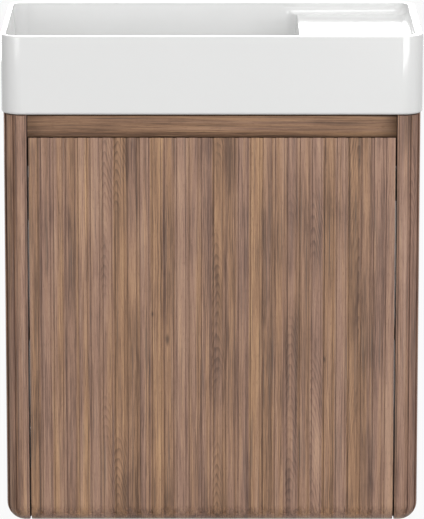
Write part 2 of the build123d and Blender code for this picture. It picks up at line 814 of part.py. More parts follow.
with BuildPart() as bowl_hollow:
    with BuildSketch(Plane.XY.offset(band_floor)):
        with Locations((bowl_centre, basin_middle)):
            RectangleRounded(deck_left - bowl_left, inner_depth, inner_corner_radius)
    extrude(amount=bowl_floor - band_floor, taper=bowl_draft)
    fillet(bowl_hollow.faces().sort_by(Axis.Z)[0].edges(), bowl_floor_radius)

with BuildPart() as deck_hollow:
    with BuildSketch(Plane.XY.offset(band_floor)):
        with Locations(((deck_pocket_left + deck_right) / 2, basin_middle)):
            RectangleRounded(deck_right - deck_pocket_left, inner_depth, inner_corner_radius)
    extrude(amount=deck_floor - band_floor)
    fillet(deck_hollow.faces().sort_by(Axis.Z)[0].edges(), deck_floor_radius)

# The cast hollow under the deck, open below and clear of the bead that the basin beds on
underside_left = deck_left + underside_wall
underside_right = bead_half - seal_width - underside_seat
underside_front = bead_front + seal_width + underside_seat
underside_rear = bead_rear - seal_width - underside_seat
underside_centre = ((underside_left + underside_right) / 2, (underside_front + underside_rear) / 2)
with BuildPart() as underside_hollow:
    with BuildSketch(Plane.XY.offset(basin_bottom)):
        with Locations(underside_centre):
            RectangleRounded(underside_right - underside_left, underside_rear - underside_front,
                             underside_corner_radius)
    extrude(amount=deck_floor - underside_wall - basin_bottom, taper=underside_draft)
    fillet(underside_hollow.faces().sort_by(Axis.Z)[-1].edges(), underside_roof_radius)

with BuildPart() as basin:
    with BuildSketch(Plane.XY.offset(basin_bottom)):
        with Locations((0, basin_middle)):
            RectangleRounded(basin_width, basin_depth, basin_corner_radius)
    extrude(amount=basin_height)
    fillet(basin.faces().sort_by(Axis.Z)[0].edges(), basin_foot_radius)
    for hollow in (rim_hollow, bowl_hollow, deck_hollow, underside_hollow):
        add(hollow.part, mode=Mode.SUBTRACT)
    fillet(basin.faces().sort_by(Axis.Z)[-1].edges(), rim_radius)
    rod((waste_x, waste_y, basin_bottom - over), (0, 0, 1), waste_hole_radius, basin_floor + 2 * over,
        Mode.SUBTRACT)
save(basin, "basin")

# Waste: a flanged tail through the bowl floor, sealed above and nutted below
flange_bottom = bowl_floor + seal_thickness
flange_top = flange_bottom + flange_thickness
tail_bottom = basin_bottom - tail_length
tail_bore = tail_radius - tail_wall

with BuildPart() as waste_top_seal:
    rod((waste_x, waste_y, bowl_floor), (0, 0, 1), flange_radius - seal_edge_inset, seal_thickness)
    rod((waste_x, waste_y, bowl_floor - over), (0, 0, 1), tail_radius + seal_bore_clearance,
        seal_thickness + 2 * over, Mode.SUBTRACT)
save(waste_top_seal, "waste_top_seal")

with BuildPart() as waste_body:
    rod((waste_x, waste_y, tail_bottom), (0, 0, 1), tail_radius, flange_bottom - tail_bottom)
    rod((waste_x, waste_y, flange_bottom), (0, 0, 1), flange_radius, flange_thickness)
    fillet(waste_body.edges().filter_by(GeomType.CIRCLE).group_by(Axis.Z)[-1], flange_edge_radius)
    relief_start = (waste_x, waste_y, tail_bottom + thread_length)
    rod(relief_start, (0, 0, 1), tail_radius + over, thread_relief, Mode.SUBTRACT)
    rod(relief_start, (0, 0, 1), tail_radius - thread_relief_depth, thread_relief)
    rod((waste_x, waste_y, tail_bottom - over), (0, 0, 1), tail_bore, flange_top - tail_bottom + 2 * over,
        Mode.SUBTRACT)
save(waste_body, "waste_body")

with BuildPart() as waste_bottom_seal:
    rod((waste_x, waste_y, basin_bottom), (0, 0, -1), nut_radius - cone_seal_inset, cone_seal_height)
    rod((waste_x, waste_y, basin_bottom + over), (0, 0, -1), tail_radius + seal_bore_clearance,
        cone_seal_height + 2 * over, Mode.SUBTRACT)
save(waste_bottom_seal, "waste_bottom_seal")

with BuildPart() as waste_back_nut:
    with BuildSketch(Plane.XY.offset(basin_bottom - cone_seal_height - nut_height)):
        with Locations((waste_x, waste_y)):
            RegularPolygon(nut_radius, 6)
            Circle(tail_radius + seal_bore_clearance, mode=Mode.SUBTRACT)
    extrude(amount=nut_height)
save(waste_back_nut, "waste_back_nut")

cartridge_top = bowl_floor - cartridge_drop
cartridge_bottom = cartridge_top - cartridge_height
with BuildPart() as waste_cartridge:
    with BuildSketch(Plane.XY.offset(cartridge_bottom)):
        with Locations((waste_x, waste_y)):
            Circle(cartridge_guide_radius)
    extrude(amount=cartridge_height)
    with BuildSketch(Plane.XY.offset(cartridge_top - cartridge_ring_height)):
        with Locations((waste_x, waste_y)):
            Circle(tail_bore - cartridge_clear)
            Circle(tail_bore - cartridge_ring_wall, mode=Mode.SUBTRACT)
            with PolarLocations(0, 3):
                Rectangle(tail_bore - cartridge_ring_wall / 2, cartridge_spoke_width,
                          align=(Align.MIN, Align.CENTER))
    extrude(amount=cartridge_ring_height)
    rod((waste_x, waste_y, cartridge_bottom - over), (0, 0, 1), plug_stem_radius + pin_clearance,
        cartridge_height + 2 * over, Mode.SUBTRACT)
save(waste_cartridge, "waste_cartridge")

plug_bottom = flange_top + plug_rest_gap
with BuildPart() as waste_plug:
    rod((waste_x, waste_y, plug_bottom), (0, 0, 1), plug_radius, plug_height)
    fillet(waste_plug.edges().filter_by(GeomType.CIRCLE).group_by(Axis.Z)[-1], plug_edge_radius)
    stem_bottom = cartridge_bottom + plug_stem_stop
    rod((waste_x, waste_y, stem_bottom), (0, 0, 1), plug_stem_radius, plug_bottom - stem_bottom)
save(waste_plug, "waste_plug")
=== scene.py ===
import logging
import math
from dataclasses import dataclass
from enum import Enum
from typing import Any, Dict, List, Optional, Sequence, Tuple, Union

import bpy
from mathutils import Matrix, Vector


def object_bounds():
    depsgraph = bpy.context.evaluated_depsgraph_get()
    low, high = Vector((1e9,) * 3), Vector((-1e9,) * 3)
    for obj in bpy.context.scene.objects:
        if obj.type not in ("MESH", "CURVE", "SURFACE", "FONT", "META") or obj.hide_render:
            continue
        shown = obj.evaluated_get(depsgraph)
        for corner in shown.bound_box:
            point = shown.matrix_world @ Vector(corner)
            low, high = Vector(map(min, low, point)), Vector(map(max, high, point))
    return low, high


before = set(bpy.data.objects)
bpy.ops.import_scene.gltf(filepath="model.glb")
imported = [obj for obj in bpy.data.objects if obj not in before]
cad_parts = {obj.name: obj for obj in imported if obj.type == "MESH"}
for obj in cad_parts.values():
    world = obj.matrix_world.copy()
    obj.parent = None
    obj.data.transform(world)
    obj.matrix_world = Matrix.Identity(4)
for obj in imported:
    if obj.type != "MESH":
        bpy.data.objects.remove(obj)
cad_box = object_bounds()

log = logging.getLogger("vanity")

Colour = Tuple[float, float, float]
Point = Tuple[float, float, float]
Span = Tuple[float, float]

MILLIMETRES_PER_METRE = 1000.0
MM = 0.001
MEAN = 0.5


class Grain(Enum):
    """Which way the fibres of a piece of wood run."""

    UPRIGHT = "z"
    LEVEL = "x"


class Lathing(Enum):
    """Whether a wooden face is fluted."""

    PLAIN = 0
    FLUTED = 1


class Signal:
    """One output socket of a node, with arithmetic that adds the nodes it needs."""

    def __init__(self, bench: "Bench", socket: bpy.types.NodeSocket) -> None:
        """Wrap a socket.

        Args:
            bench: The node tree that the socket belongs to.
            socket: The output socket.
        """
        self.bench = bench
        self.socket = socket

    def _joined(self, operation: str, left: Any, right: Any) -> "Signal":
        """Add the node for one operation, by the kind of what goes in.

        Args:
            operation: ADD, SUBTRACT, MULTIPLY or DIVIDE, which all three kinds of node know.
            left: The first signal, number or tuple.
            right: The second signal, number or tuple.

        Returns:
            The result.
        """
        kinds = {part.socket.type for part in (left, right) if isinstance(part, Signal)}
        if "RGBA" in kinds:
            return self.bench.mix(left, right, 1.0, operation)
        if "VECTOR" in kinds:
            return self.bench.node("ShaderNodeVectorMath", {"operation": operation}, {0: left, 1: right})
        return self.bench.node("ShaderNodeMath", {"operation": operation}, {0: left, 1: right})

    def __add__(self, other: Any) -> "Signal":
        """Sum."""
        return self._joined("ADD", self, other)

    __radd__ = __add__

    def __sub__(self, other: Any) -> "Signal":
        """Difference."""
        return self._joined("SUBTRACT", self, other)

    def __rsub__(self, other: Any) -> "Signal":
        """Difference, with the signal last."""
        return self._joined("SUBTRACT", other, self)

    def __mul__(self, other: Any) -> "Signal":
        """Product."""
        return self._joined("MULTIPLY", self, other)

    __rmul__ = __mul__

    def __truediv__(self, other: Any) -> "Signal":
        """Quotient."""
        return self._joined("DIVIDE", self, other)

    def __rtruediv__(self, other: Any) -> "Signal":
        """Quotient, with the signal last."""
        return self._joined("DIVIDE", other, self)

    def math(self, operation: str, other: Any = 0.0) -> "Signal":
        """Apply a named operation of the Math node, with an optional second value."""
        return self.bench.node("ShaderNodeMath", {"operation": operation}, {0: self, 1: other})

    def between(self, low: float, high: float) -> "Signal":
        """Step softly from 0 at low to 1 at high, or fall where low is above high.

        Args:
            low: Where the result is 0.
            high: Where the result is 1.

        Returns:
            The step.
        """
        rising = self.bench.node(
            "ShaderNodeMapRange",
            {"interpolation_type": "SMOOTHSTEP"},
            {"Value": self, "From Min": min(low, high), "From Max": max(low, high)},
        )
        return rising if low < high else 1.0 - rising


class Bench:
    """A node tree, with short ways to add to it."""

    def __init__(self, tree: bpy.types.NodeTree) -> None:
        """Clear a tree and start on it.

        Args:
            tree: The tree of a material or of the world.
        """
        self.tree = tree
        self.tree.nodes.clear()

    def _input(self, node: bpy.types.Node, key: Union[int, str]) -> bpy.types.NodeSocket:
        """Find an input socket.

        Args:
            node: The node.
            key: The socket's number, identifier or name.

        Returns:
            The socket.
        """
        if isinstance(key, int):
            return node.inputs[key]
        for socket in node.inputs:
            if socket.identifier == key:
                return socket
        return node.inputs[key]

    def _set_stops(self, ramp: bpy.types.ColorRamp, stops: Sequence[Tuple[float, Colour]]) -> None:
        """Give a ramp its stops.

        Args:
            ramp: The ramp.
            stops: Each stop's place and colour, from the first to the last.
        """
        while len(ramp.elements) < len(stops):
            ramp.elements.new(1.0)
        for element, (place, colour) in zip(ramp.elements, stops):
            element.position = place
            element.color = (*colour, 1.0)

    def _fill(self, socket: bpy.types.NodeSocket, value: Any) -> None:
        """Link or set one input socket.

        Args:
            socket: The socket.
            value: A signal to link, or a number or tuple to set.
        """
        if isinstance(value, Signal):
            self.tree.links.new(value.socket, socket)
        elif socket.type == "RGBA":
            colour = (value,) * 3 if isinstance(value, (int, float)) else value[:3]
            socket.default_value = (*colour, 1.0)
        elif socket.type == "VECTOR" and isinstance(value, (int, float)):
            socket.default_value = (value,) * 3
        else:
            socket.default_value = value

    def raw(self, kind: str, settings: Optional[Dict[str, Any]] = None,
            values: Optional[Dict[Union[int, str], Any]] = None) -> bpy.types.Node:
        """Add a node of any type.

        Args:
            kind: The node's type.
            settings: Its own properties, set first; "stops" sets a ramp's places and colours.
            values: What its input sockets hold or are linked to.

        Returns:
            The node.
        """
        node = self.tree.nodes.new(kind)
        for key, value in (settings or {}).items():
            if key == "stops":
                self._set_stops(node.color_ramp, value)
            else:
                setattr(node, key, value)
        for key, value in (values or {}).items():
            self._fill(self._input(node, key), value)
        return node

    def node(self, kind: str, settings: Optional[Dict[str, Any]] = None,
             values: Optional[Dict[Union[int, str], Any]] = None, out: Union[int, str] = 0) -> Signal:
        """Add a node of any type and give one of its outputs.

        Args:
            kind: The node's type.
            settings: Its own properties.
            values: What its input sockets hold or are linked to.
            out: Which output, by its name or by its number among those in use.

        Returns:
            The output as a signal.
        """
        node = self.raw(kind, settings, values)
        shown = [socket for socket in node.outputs if socket.enabled]
        return Signal(self, shown[out] if isinstance(out, int) else node.outputs[out])

    def mix(self, first: Any, second: Any, factor: Any, blend: str = "MIX") -> Signal:
        """Mix two colours.

        Args:
            first: The colour at a factor of 0.
            second: The colour at a factor of 1.
            factor: The share of the second colour.
            blend: How the two are blended.

        Returns:
            The mixed colour.
        """
        return self.node(
            "ShaderNodeMix",
            {"data_type": "RGBA", "blend_type": blend},
            {"A_Color": first, "B_Color": second, "Factor_Float": factor},
        )

    def place(self) -> Signal:
        """Where a point of the surface is in the object's own frame, in millimetres."""
        return self.node("ShaderNodeTexCoord", out="Object") * ((MILLIMETRES_PER_METRE,) * 3)

    def facing(self) -> Signal:
        """Which way the surface faces, without smoothing."""
        return self.node("ShaderNodeNewGeometry", out="True Normal")

    def parts(self, vector: Signal) -> Tuple[Signal, Signal, Signal]:
        """Split a vector into its three components."""
        node = self.raw("ShaderNodeSeparateXYZ", None, {0: vector})
        return tuple(Signal(self, socket) for socket in node.outputs)

    def vector(self, x: Any, y: Any, z: Any) -> Signal:
        """Make a vector of three values."""
        return self.node("ShaderNodeCombineXYZ", None, {0: x, 1: y, 2: z})

    def chance(self, index: Signal) -> Signal:
        """Give a random value between 0 and 1 that is the same wherever the index is."""
        return self.node("ShaderNodeTexWhiteNoise", {"noise_dimensions": "1D"}, {"W": index})

    def bump(self, height: Signal, depth: float) -> Signal:
        """Turn a height between 0 and 1 into a normal, for a relief of so many millimetres."""
        return self.node("ShaderNodeBump", None, {"Height": height, "Strength": 1.0, "Distance": depth * MM})

    def end(self, kind: str, shader: Signal) -> None:
        """Link a shader to the surface of an output node of the given type."""
        self.raw(kind, None, {"Surface": shader})


@dataclass(frozen=True)
class Layer:
    """One layer of noise, by the size of its blobs along each axis in millimetres."""

    size: Point
    detail: float = 2.0
    roughness: float = 0.5
    weight: float = 1.0

    def plain(self, bench: Bench, at: Signal) -> Signal:
        """Give the layer as it is, about 0.5 in the mean.

        Args:
            bench: The tree to add it to.
            at: The place in millimetres.

        Returns:
            The noise.
        """
        stretched = at * tuple(1.0 / length for length in self.size)
        return bench.node("ShaderNodeTexNoise", {"noise_dimensions": "3D"},
                          {"Vector": stretched, "Scale": 1.0, "Detail": self.detail,
                           "Roughness": self.roughness})

    def swing(self, bench: Bench, at: Signal) -> Signal:
        """Give the layer about zero, times its weight."""
        return (self.plain(bench, at) - MEAN) * self.weight


def even(size: float, detail: float = 2.0) -> Layer:
    """Make a layer whose blobs are as long as they are wide."""
    return Layer((size,) * 3, detail)


@dataclass(frozen=True)
class Finish:
    """What all finishes share: one Principled shader, filled in by the kind of finish."""

    def values(self, bench: Bench) -> Dict[str, Any]:
        """Give what the shader's sockets hold or are linked to."""
        raise NotImplementedError

    def material(self, name: str) -> bpy.types.Material:
        """Make the finish as a material.

        Args:
            name: The material's name.

        Returns:
            The material.
        """
        made = bpy.data.materials.new(name)
        made.use_nodes = True
        bench = Bench(made.node_tree)
        shader = bench.node("ShaderNodeBsdfPrincipled", None, self.values(bench))
        bench.end("ShaderNodeOutputMaterial", shader)
        return made


@dataclass(frozen=True)
class Form:
    """The cabinet's outer form, which the flutes follow, in millimetres."""

    half_width: float = 223.0
    front: float = -233.0
    bottom: float = -376.0
    edge_radius: float = 20.0
    pitch: float = 13.2
    groove_width: float = 4.0

    @property
    def corner_x(self) -> float:
        """Where the corner's rounding starts, from the middle."""
        return self.half_width - self.edge_radius

    @property
    def corner_y(self) -> float:
        """Where the corner's rounding ends on the side face."""
        return self.front + self.edge_radius

    @property
    def corner_z(self) -> float:
        """Where the foot's rounding starts."""
        return self.bottom + self.edge_radius

    def unrolled(self, bench: Bench) -> Tuple[Signal, Signal, Signal]:
        """Unroll the front, the corners and the sides into one strip.

        Args:
            bench: The tree to add it to.

        Returns:
            The distance round the outline from the middle, the side of the middle as -1 or 1,
            and the depth under the skin.
        """
        x, y, z = bench.parts(bench.place())
        flat = x.math("ABSOLUTE")
        beyond_x = (flat - self.corner_x).math("MAXIMUM")
        beyond_y = (self.corner_y - y).math("MAXIMUM")
        beyond_z = (self.corner_z - z).math("MAXIMUM")
        turn = beyond_x.math("ARCTAN2", beyond_y)
        run = (flat.math("MINIMUM", self.corner_x) + turn * self.edge_radius
               + (y - self.corner_y).math("MAXIMUM"))
        reach = (beyond_x * beyond_x + beyond_y * beyond_y + beyond_z * beyond_z).math("SQRT")
        return run, x.math("SIGN"), self.edge_radius - reach


@dataclass(frozen=True)
class Joint:
    """The joint round the door, whose inner faces and the door's top get painted shade, in millimetres."""

    nearest: float = 195.4
    furthest: float = 198.7
    shallow_end: Span = (1.0, 4.0)
    deep_end: Span = (31.0, 28.0)
    sideways: Span = (0.80, 0.95)
    upwards: Span = (0.10, 0.30)
    top_from: float = 40.0
    top_to: float = 51.0
    behind_edge: Span = (0.5, 1.2)

    def mask(self, bench: Bench, front: float) -> Signal:
        """Find the faces beside the door and the top of the door.

        Args:
            bench: The tree to add it to.
            front: Where the door's face is.

        Returns:
            1 on those faces and 0 elsewhere.
        """
        x, y, z = bench.parts(bench.place())
        flat = x.math("ABSOLUTE")
        inward = y - front
        facing_x, _, facing_z = bench.parts(bench.facing())
        beside = flat.math("GREATER_THAN", self.nearest) * flat.math("LESS_THAN", self.furthest)
        within = inward.between(*self.shallow_end) * inward.between(*self.deep_end)
        walls = beside * facing_x.math("ABSOLUTE").between(*self.sideways) * within
        high = z.math("GREATER_THAN", self.top_from) * z.math("LESS_THAN", self.top_to)
        top = facing_z.between(*self.upwards) * high * inward.between(*self.behind_edge)
        return walls.math("MAXIMUM", top)


@dataclass(frozen=True)
class Knot:
    """A small dark knot, by its middle and its half sizes in millimetres."""

    across: float
    along: float
    half_width: float
    half_length: float


@dataclass(frozen=True)
class Walnut(Finish):
    """Matt varnished walnut: fibres, bands, growth rings, pores, streaks and knots, with painted shade in
    the groove corners, in the door's joint and at chosen heights.

    Lengths are in millimetres. A span gives where a soft step starts and where it ends.
    """

    grain: Grain = Grain.UPRIGHT
    lathing: Lathing = Lathing.PLAIN
    form: Form = Form()
    joint: Joint = Joint()
    painted_light_gain: float = 1.0
    shaded_heights: Tuple[Span, ...] = ()
    knots: Tuple[Knot, ...] = ()
    knot_span: Span = (1.15, 0.15)

    light: Colour = (0.490, 0.315, 0.205)
    middle: Colour = (0.325, 0.196, 0.134)
    dark: Colour = (0.120, 0.070, 0.050)
    light_stop: float = 0.90
    dark_stop: float = 0.10
    streak: Colour = (0.110, 0.086, 0.074)
    heart: Colour = (0.050, 0.030, 0.023)
    # The next colour is painted shade for the corners at the walls of the grooves.
    groove_shade: Colour = (0.075, 0.036, 0.024)
    # The next colour is painted shade for the faces in the door's joint and at chosen heights.
    painted_shade: Colour = (0.028, 0.014, 0.010)
    tan: Colour = (1.10, 1.03, 0.86)
    rose: Colour = (0.98, 0.955, 1.00)

    strip_width: float = 40.0
    side_step: float = 40.0
    strip_tone: float = 0.30
    strip_hue: float = 0.5
    hue_seed: float = 0.37
    hue_span: Span = (0.25, 0.75)

    ring_seed: float = 0.71
    ring_spacing: float = 2.3
    ring_depth: float = 4.0
    ring_taper: float = 0.20
    ring_drift: float = 0.006
    ring_rise: Span = (0.35, 0.90)
    ring_fall: Span = (1.0, 0.93)
    ring_fade: Span = (0.40, 0.62)
    flame_reach: Span = (7.0, 4.0)

    pore_span: Span = (0.58, 0.72)
    streak_span: Span = (0.58, 0.70)
    wall_span: Span = (0.55, 0.05)
    groove_depth_span: Span = (3.0, 2.0)

    ring_share: float = 0.20
    pore_share: float = 0.38
    streak_share: float = 0.42
    knot_share: float = 0.75
    groove_shade_share: float = 0.55
    painted_shade_share: float = 0.90

    roughness: float = 0.46
    pore_roughness: float = 0.16
    tone_gloss: float = 0.12
    painted_shade_roughness: float = 0.5
    specular_level: float = 0.35
    relief: float = 0.10
    relief_share: float = 0.5

    wobbles: Layer = Layer((9.0, 9.0, 70.0), weight=5.0)
    fades: Layer = Layer((30.0, 30.0, 120.0), 1.0)
    sways: Layer = Layer((38.0, 38.0, 190.0), 1.0, weight=6.0)
    fibres: Layer = Layer((0.65, 0.65, 26.0), 3.0, 0.66, 0.80)
    strands: Layer = Layer((2.4, 2.4, 75.0), weight=0.72)
    bands: Layer = Layer((8.0, 8.0, 210.0), weight=0.85)
    clouds: Layer = Layer((42.0, 42.0, 90.0), weight=0.50)
    hues: Layer = Layer((7.0, 7.0, 260.0), 1.0)
    pores: Layer = Layer((0.38, 0.38, 6.0), 1.0)
    streaks: Layer = Layer((1.7, 1.7, 120.0), 1.0)

    def along_grain(self, bench: Bench) -> Signal:
        """Turn the place so that its third axis runs along the fibres."""
        x, y, z = bench.parts(bench.place())
        return bench.vector(z, y, x) if self.grain is Grain.LEVEL else bench.vector(x, y, z)

    def rings(self, bench: Bench, at: Signal, offset: Signal, strip: Signal) -> Signal:
        """Draw fine latewood lines, upright in most strips and nested in flames in a few.

        Args:
            bench: The tree to add them to.
            at: The place, turned along the grain.
            offset: Distance from the middle of the strip.
            strip: The strip's number.

        Returns:
            1 on a line and 0 between lines.
        """
        _, _, along = bench.parts(at)
        centre = (bench.chance(strip + self.ring_seed) - MEAN) * self.strip_width
        flame = centre.math("ABSOLUTE").between(*self.flame_reach)
        side = offset - centre
        slope = flame * self.ring_taper + self.ring_drift
        radius = (side * side + self.ring_depth ** 2).math("SQRT") + along * slope
        phase = ((radius + self.wobbles.swing(bench, at)) / self.ring_spacing).math("FRACT")
        line = phase.between(*self.ring_rise) * phase.between(*self.ring_fall)
        return line * self.fades.plain(bench, at).between(*self.ring_fade)

    def tone(self, bench: Bench, at: Signal) -> Signal:
        """Say how light the wood is from fibre to fibre and from band to band.

        Args:
            bench: The tree to add it to.
            at: The place, turned along the grain.

        Returns:
            The lightness, about 0.5 in the mean.
        """
        sway = self.sways.swing(bench, at)
        swayed = at + bench.vector(sway, sway, 0.0)
        fine = MEAN + self.fibres.swing(bench, swayed) + self.strands.swing(bench, swayed)
        return fine + self.bands.swing(bench, swayed) + self.clouds.swing(bench, at)

    def knot_mask(self, bench: Bench, at: Signal) -> Signal:
        """Find the knots.

        Args:
            bench: The tree to add them to.
            at: The place, turned along the grain.

        Returns:
            1 in the middle of a knot and 0 away from knots.
        """
        across, _, along = bench.parts(at)
        total: Any = 0.0
        for knot in self.knots:
            u = (across - knot.across) / knot.half_width
            v = (along - knot.along) / knot.half_length
            total = (u * u + v * v).math("SQRT").between(*self.knot_span) + total
        return total

    def shade(self, bench: Bench) -> Any:
        """Say where shade is painted: on the faces in the door's joint, or at chosen heights.

        Args:
            bench: The tree to add it to.

        Returns:
            1 in shade and 0 in the light.
        """
        if self.lathing is Lathing.FLUTED:
            return self.joint.mask(bench, self.form.front)
        hidden: Any = 0.0
        for span in self.shaded_heights:
            _, _, height = bench.parts(bench.place())
            hidden = height.between(*span).math("MAXIMUM", hidden)
        return hidden

    def groove_wall_shade(self, place: Signal, depth: Signal) -> Signal:
        """Find where shade is painted along the walls of the grooves between the flutes.

        Args:
            place: Distance round the outline, in pitches.
            depth: Depth under the skin.

        Returns:
            1 at a wall and 0 away from it.
        """
        beside = ((place + MEAN).math("FRACT") - MEAN).math("ABSOLUTE") * self.form.pitch
        wall = (beside - self.form.groove_width / 2).math("ABSOLUTE").between(*self.wall_span)
        return wall * depth.between(*self.groove_depth_span)

    def values(self, bench: Bench) -> Dict[str, Any]:
        """Give the wood's colour, roughness and relief.

        Args:
            bench: The tree to add them to.

        Returns:
            What the shader's sockets hold or are linked to.
        """
        at = self.along_grain(bench)
        fluted = self.lathing is Lathing.FLUTED
        if fluted:
            run, side, depth = self.form.unrolled(bench)
            pitch = self.form.pitch
            place = run / pitch
            strip = place.math("FLOOR") + side * self.side_step
        else:
            across, _, _ = bench.parts(at)
            pitch = self.strip_width
            place = across / pitch
            strip = place.math("FLOOR")
        offset = (place.math("FRACT") - MEAN) * pitch
        tone = self.tone(bench, at) - self.rings(bench, at, offset, strip) * self.ring_share
        if fluted:
            tone = tone + (bench.chance(strip) - MEAN) * self.strip_tone
        hue = self.hues.plain(bench, at) + (bench.chance(strip + self.hue_seed) - MEAN) * self.strip_hue
        pores = self.pores.plain(bench, at).between(*self.pore_span)
        streaks = self.streaks.plain(bench, at).between(*self.streak_span)
        hidden = self.shade(bench)
        stops = [(self.dark_stop, self.dark), (MEAN, self.middle), (self.light_stop, self.light)]
        colour = bench.node("ShaderNodeValToRGB", {"stops": stops}, {"Fac": tone})
        colour = colour * bench.mix(self.rose, self.tan, hue.between(*self.hue_span))
        colour = bench.mix(colour, self.dark, pores * self.pore_share)
        colour = bench.mix(colour, self.streak, streaks * self.streak_share)
        if self.knots:
            colour = bench.mix(colour, self.heart, self.knot_mask(bench, at) * self.knot_share)
        if fluted:
            # Painted shade: the groove floor is darkened where it meets the groove walls.
            colour = bench.mix(colour, self.groove_shade, self.groove_wall_shade(place, depth) * self.groove_shade_share)
        # Painted shade: the faces that the shade mask picks are darkened to near black.
        colour = bench.mix(colour, self.painted_shade, hidden * self.painted_shade_share)
        return {
            # Painted light: the colour is scaled up where a piece should look more brightly lit.
            "Base Color": colour * ((self.painted_light_gain,) * 3),
            "Roughness": (self.roughness + pores * self.pore_roughness - (tone - MEAN) * self.tone_gloss
                          + hidden * self.painted_shade_roughness),
            "Normal": bench.bump(tone * self.relief_share - pores * self.relief_share, self.relief),
            "Specular IOR Level": self.specular_level,
        }


@dataclass(frozen=True)
class Glaze(Finish):
    """White glazed ceramic with a slightly wavy skin and a bare, fired foot."""

    foot: float = 75.0
    foot_span: Span = (0.3, 0.1)
    colour: Colour = (0.80, 0.80, 0.795)
    cooler: Colour = (0.785, 0.79, 0.785)
    speck: Colour = (0.55, 0.52, 0.48)
    bare: Colour = (0.72, 0.70, 0.66)
    speck_span: Span = (0.80, 0.86)
    speck_share: float = 0.12
    roughness: float = 0.09
    peel_roughness: float = 0.05
    bare_roughness: float = 0.6
    coat: float = 0.35
    coat_roughness: float = 0.04
    relief: float = 0.10
    ripple_share: float = 0.9
    peel_share: float = 0.06
    ripples: Layer = even(28.0)
    peels: Layer = even(1.6, 1.0)
    specks: Layer = even(0.5, 0.0)
    clouds: Layer = even(90.0, 1.0)

    def values(self, bench: Bench) -> Dict[str, Any]:
        """Give the glaze's colour, gloss and relief.

        Args:
            bench: The tree to add them to.

        Returns:
            What the shader's sockets hold or are linked to.
        """
        at = bench.place()
        _, _, height = bench.parts(at)
        ripple = self.ripples.plain(bench, at)
        peel = self.peels.plain(bench, at)
        specks = self.specks.plain(bench, at).between(*self.speck_span)
        fired = (height - self.foot).between(*self.foot_span)
        tint = bench.mix(self.colour, self.cooler, self.clouds.plain(bench, at))
        tint = bench.mix(tint, self.speck, specks * self.speck_share)
        return {
            "Base Color": bench.mix(tint, self.bare, fired),
            "Roughness": self.roughness + peel * self.peel_roughness + fired * self.bare_roughness,
            "Normal": bench.bump(ripple * self.ripple_share + peel * self.peel_share, self.relief),
            "Coat Weight": self.coat - fired * self.coat,
            "Coat Roughness": self.coat_roughness,
        }


@dataclass(frozen=True)
class Metal(Finish):
    """A metal skin, from cast to mirror bright."""

    colour: Colour
    other: Colour
    roughness: float
    spread: float
    relief: float
    pits: Layer
    clouds: Layer
    cloud_span: Span = (0.35, 0.65)

    def values(self, bench: Bench) -> Dict[str, Any]:
        """Give the metal's colour, roughness and relief.

        Args:
            bench: The tree to add them to.

        Returns:
            What the shader's sockets hold or are linked to.
        """
        at = bench.place()
        clouds = self.clouds.plain(bench, at)
        pits = self.pits.plain(bench, at)
        return {
            "Base Color": bench.mix(self.colour, self.other, clouds.between(*self.cloud_span)),
            "Metallic": 1.0,
            "Roughness": self.roughness + (clouds - MEAN) * self.spread + (pits - MEAN) * self.spread,
            "Normal": bench.bump(pits, self.relief),
        }


@dataclass(frozen=True)
class Moulding(Finish):
    """Moulded plastic or rubber with a fine spark-eroded texture."""

    colour: Colour
    roughness: float
    relief: float = 0.03
    dust: float = 0.05
    flow_roughness: float = 0.15
    flow_span: Span = (0.3, 0.7)
    texture: Layer = even(0.35, 1.0)
    flows: Layer = even(14.0)

    def values(self, bench: Bench) -> Dict[str, Any]:
        """Give the moulding's colour, roughness and relief.

        Args:
            bench: The tree to add them to.

        Returns:
            What the shader's sockets hold or are linked to.
        """
        at = bench.place()
        flow = self.flows.plain(bench, at)
        darker = tuple(channel * (1.0 - 2 * self.dust) for channel in self.colour)
        return {
            "Base Color": bench.mix(self.colour, darker, flow.between(*self.flow_span)),
            "Roughness": self.roughness + (flow - MEAN) * self.flow_roughness,
            "Normal": bench.bump(self.texture.plain(bench, at), self.relief),
        }


@dataclass(frozen=True)
class ClearBead(Finish):
    """Silicone or clear polymer, slightly cloudy."""

    colour: Colour
    roughness: float
    cloudiness: float = 0.8
    flow_roughness: float = 0.2
    relief: float = 0.08
    clearness: float = 0.25
    refraction: float = 1.41
    flows: Layer = even(5.0)

    def values(self, bench: Bench) -> Dict[str, Any]:
        """Give the bead's colour, roughness and relief.

        Args:
            bench: The tree to add them to.

        Returns:
            What the shader's sockets hold or are linked to.
        """
        flow = self.flows.plain(bench, bench.place())
        darker = tuple(channel * self.cloudiness for channel in self.colour)
        return {
            "Base Color": bench.mix(self.colour, darker, flow),
            "Roughness": self.roughness + (flow - MEAN) * self.flow_roughness,
            "Normal": bench.bump(flow, self.relief),
            "Transmission Weight": self.clearness,
            "IOR": self.refraction,
        }


